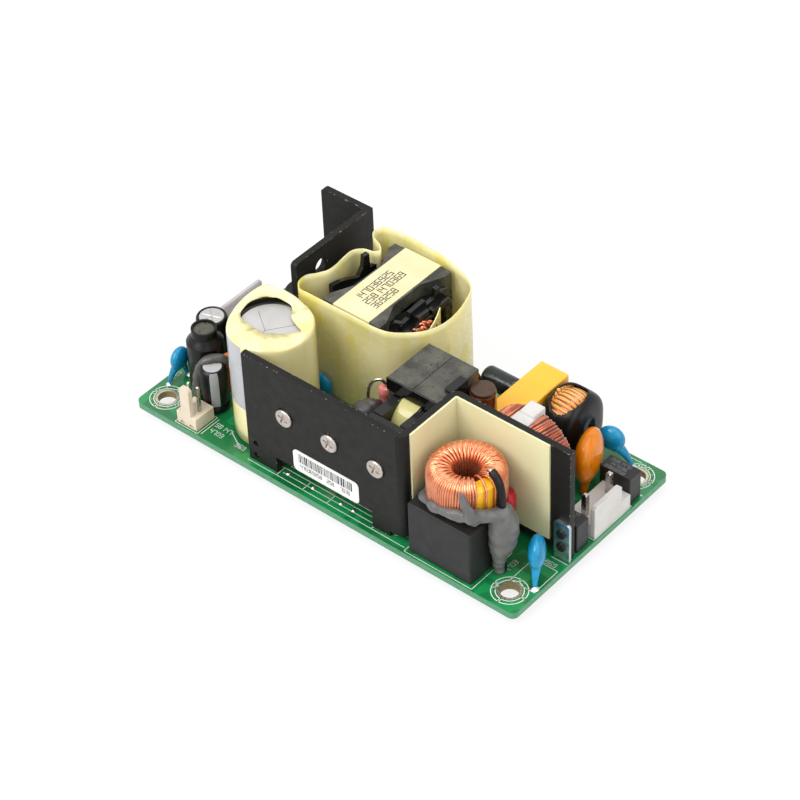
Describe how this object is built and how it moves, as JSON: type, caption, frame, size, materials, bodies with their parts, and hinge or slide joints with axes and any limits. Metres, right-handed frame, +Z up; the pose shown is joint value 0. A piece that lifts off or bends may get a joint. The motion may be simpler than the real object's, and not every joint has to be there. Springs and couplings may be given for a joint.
{
  "type": "open-frame power supply",
  "caption": "Open-frame AC-DC power supply on a 4 by 2 inch circuit board with folded black heatsinks, taped transformer, chokes, capacitors and pin headers",
  "frame": {"origin": "centre of the board's outline, at the level of the trimmed lead tips below the board", "axes": "+X along the board's long side towards the mains header, +Y across the board to the edge with the rear heatsink, +Z up from the board's component side"},
  "size_m": [0.1016, 0.0508, 0.0358],
  "materials": {
    "circuit_board": "bright green solder mask on glass-epoxy laminate, glossy",
    "solder": "tinned lead ends in dull bright solder",
    "black_moulding": "black moulded plastic, fine matt",
    "black_sheet": "black coated aluminium sheet, smooth satin",
    "plated_steel": "zinc-plated steel screw heads",
    "grey_pad": "grey thermal pad",
    "cream_sheet": "cream insulating sheet, matt",
    "white_label": "blank white self-adhesive label",
    "tinned_plate": "tinned steel, dull",
    "black_rivet": "black rivet heads",
    "dark_box": "charcoal capacitor box, satin",
    "yellow_core": "yellow coated powder core",
    "bright_copper_wire": "bright copper enamelled wire",
    "copper_wire": "enamelled copper wire",
    "red_wire": "dark reddish enamelled copper wire",
    "black_sleeve": "black heat-shrink sleeve",
    "red_dip": "red dipped coating",
    "grey_silicone": "grey silicone adhesive, lumpy",
    "ferrite": "dark grey ferrite, matt",
    "pale_tape": "pale yellow polyester tape",
    "yellow_tape": "yellow polyester tape, glossy",
    "can_sleeve": "dark printed sleeve with an aluminium top",
    "orange_dip": "orange dipped coating",
    "white_nylon": "white nylon moulding",
    "tinned_pin": "tinned square pins",
    "yellow_box": "yellow moulded box",
    "blue_dip": "blue dipped coating, glossy",
    "amber_tape": "amber polyimide tape",
    "pink_resistor": "pink lacquered resistor body",
    "dark_dip": "dark coated disc thermistor in sleeving"
  },
  "bodies": {
    "root": {"circuit_board": "circuit_board", "solder_joints": "solder", "surface_parts": "black_moulding", "front_heatsink": "black_sheet", "rear_heatsink": "black_sheet", "heatsink_screws": "plated_steel", "power_transistors": "black_moulding", "transistor_pads": "grey_pad", "output_rectifiers": "black_moulding", "insulation_sheet": "cream_sheet", "blank_label": "white_label", "solder_foot": "tinned_plate", "foot_rivets": "black_rivet", "film_capacitor": "dark_box", "bay_choke_core": "yellow_core", "bay_choke_winding": "bright_copper_wire", "bay_choke_lead": "black_sleeve", "red_capacitor": "red_dip", "silicone_beads": "grey_silicone", "transformer_core": "ferrite", "transformer_bobbin": "black_moulding", "transformer_winding": "copper_wire", "transformer_core_band": "pale_tape", "transformer_wrap": "yellow_tape", "bulk_capacitor_can": "can_sleeve", "bulk_capacitor_wrap": "yellow_tape", "output_capacitors": "can_sleeve", "tall_electrolytic": "can_sleeve", "small_electrolytic": "can_sleeve", "auxiliary_electrolytic": "can_sleeve", "drum_choke_sleeve": "black_sleeve", "drum_choke_core": "ferrite", "orange_capacitor": "orange_dip", "fan_header_housing": "white_nylon", "fan_header_pins": "tinned_pin", "mains_header_housing": "white_nylon", "mains_header_pins": "tinned_pin", "output_header_housing": "white_nylon", "output_header_pins": "tinned_pin", "mains_fuses": "black_moulding", "common_mode_core": "ferrite", "common_mode_winding_right": "red_wire", "common_mode_winding_left": "red_wire", "common_mode_spacer": "white_nylon", "common_mode_base": "black_moulding", "x_capacitor": "yellow_box", "small_choke_core": "yellow_core", "small_choke_winding": "copper_wire", "small_choke_sleeve": "black_sleeve", "varistor": "orange_dip", "pfc_core": "ferrite", "pfc_bobbin": "black_moulding", "pfc_winding": "pale_tape", "amber_choke_core": "ferrite", "amber_choke_tape": "amber_tape", "bleeder_resistor": "pink_resistor", "thermistor": "dark_dip", "disc_capacitors": "blue_dip"}
  },
  "joints": []
}
